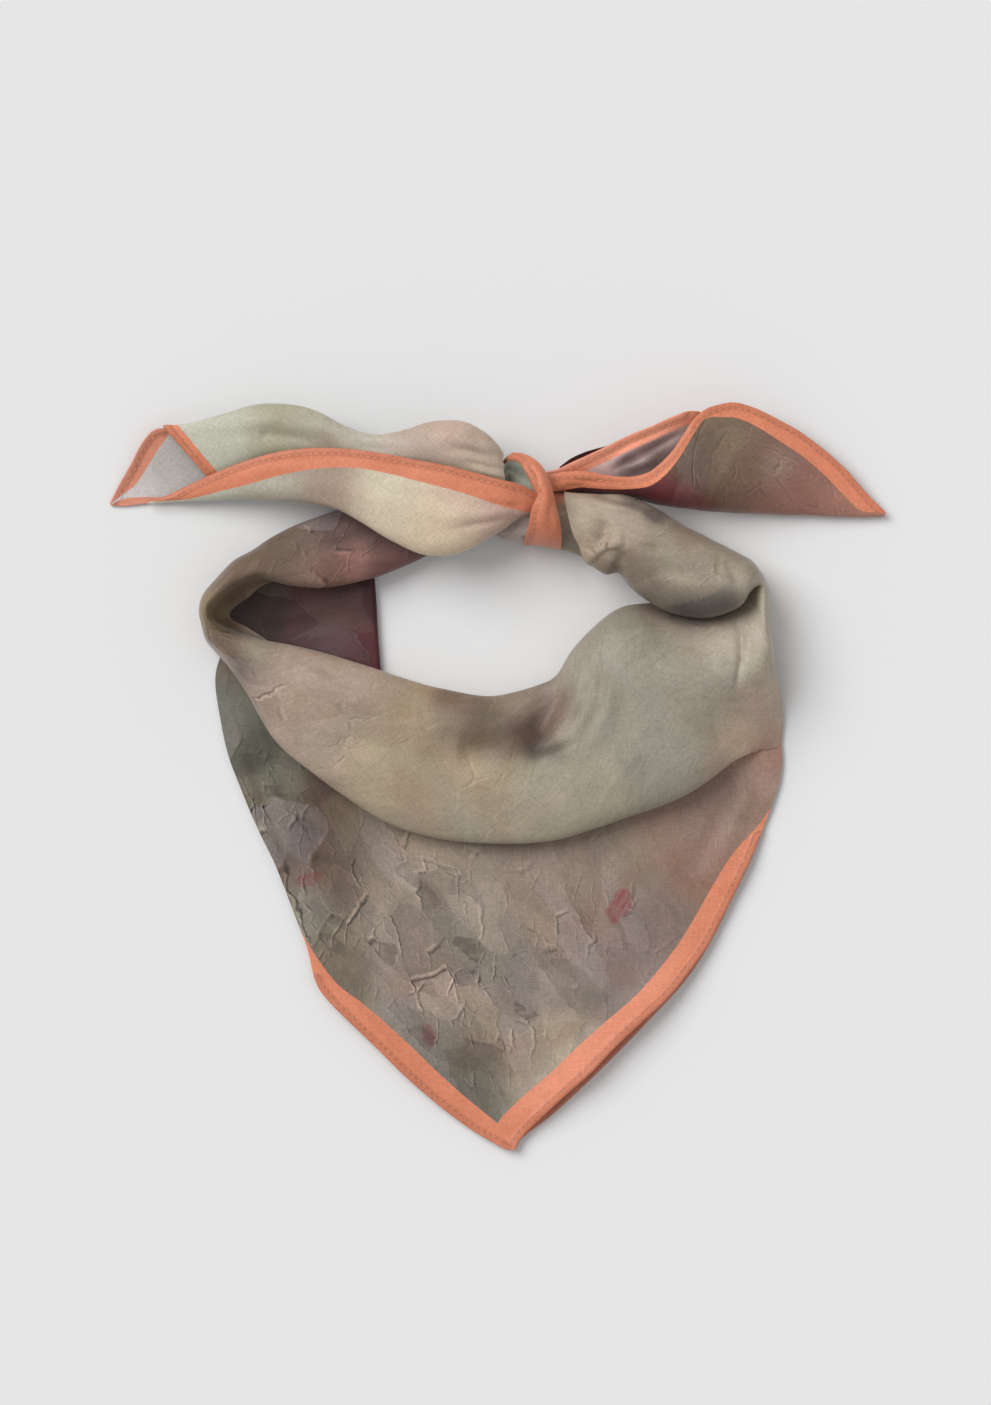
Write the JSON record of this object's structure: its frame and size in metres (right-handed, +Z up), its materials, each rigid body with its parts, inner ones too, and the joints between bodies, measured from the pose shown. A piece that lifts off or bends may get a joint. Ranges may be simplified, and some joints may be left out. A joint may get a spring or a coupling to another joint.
{
  "type": "square neck scarf",
  "caption": "Small square silk scarf folded corner to corner, rolled at the top and knotted into a neck loop, lying flat with both ends spread and the corner hanging below.",
  "frame": {"origin": "centre of the footprint, on the surface that the scarf lies on", "axes": "+Z up out of the surface; +Y from the hanging corner to the knot; +X to the right of the loop, seen from above with the knot at the top"},
  "size_m": [0.2793, 0.2685, 0.0325],
  "materials": {
    "printed_ground": "printed silk twill, greige ground, soft sheen",
    "printed_pale": "printed silk twill, pale sage and cream, soft sheen",
    "printed_dark": "printed silk twill, brown mauve, soft sheen",
    "printed_edge": "printed silk twill, orange, stitched rolled hem",
    "cloth_reverse": "back of the silk, pale lilac white"
  },
  "bodies": {
    "root": {"corner_under_layer": "printed_ground", "corner_top_layer": "printed_ground", "corner_left_edge": "printed_edge", "corner_right_edge": "printed_edge", "left_band": "printed_dark", "collar": "printed_ground", "right_band": "printed_ground", "right_band_neck": "printed_ground", "inner_fold": "printed_dark", "left_tail_under_layer": "cloth_reverse", "left_tail_upper_leaf": "printed_pale", "left_tail_lower_leaf": "printed_pale", "left_tail_front_edge": "printed_edge", "right_tail_under_layer": "cloth_reverse", "right_tail_under_edge": "printed_edge", "right_tail_top_layer": "printed_dark", "right_tail_top_edge": "printed_edge", "right_tail_rear_fold": "printed_dark", "knot_wrap": "printed_edge", "knot_core": "printed_ground"}
  },
  "joints": []
}
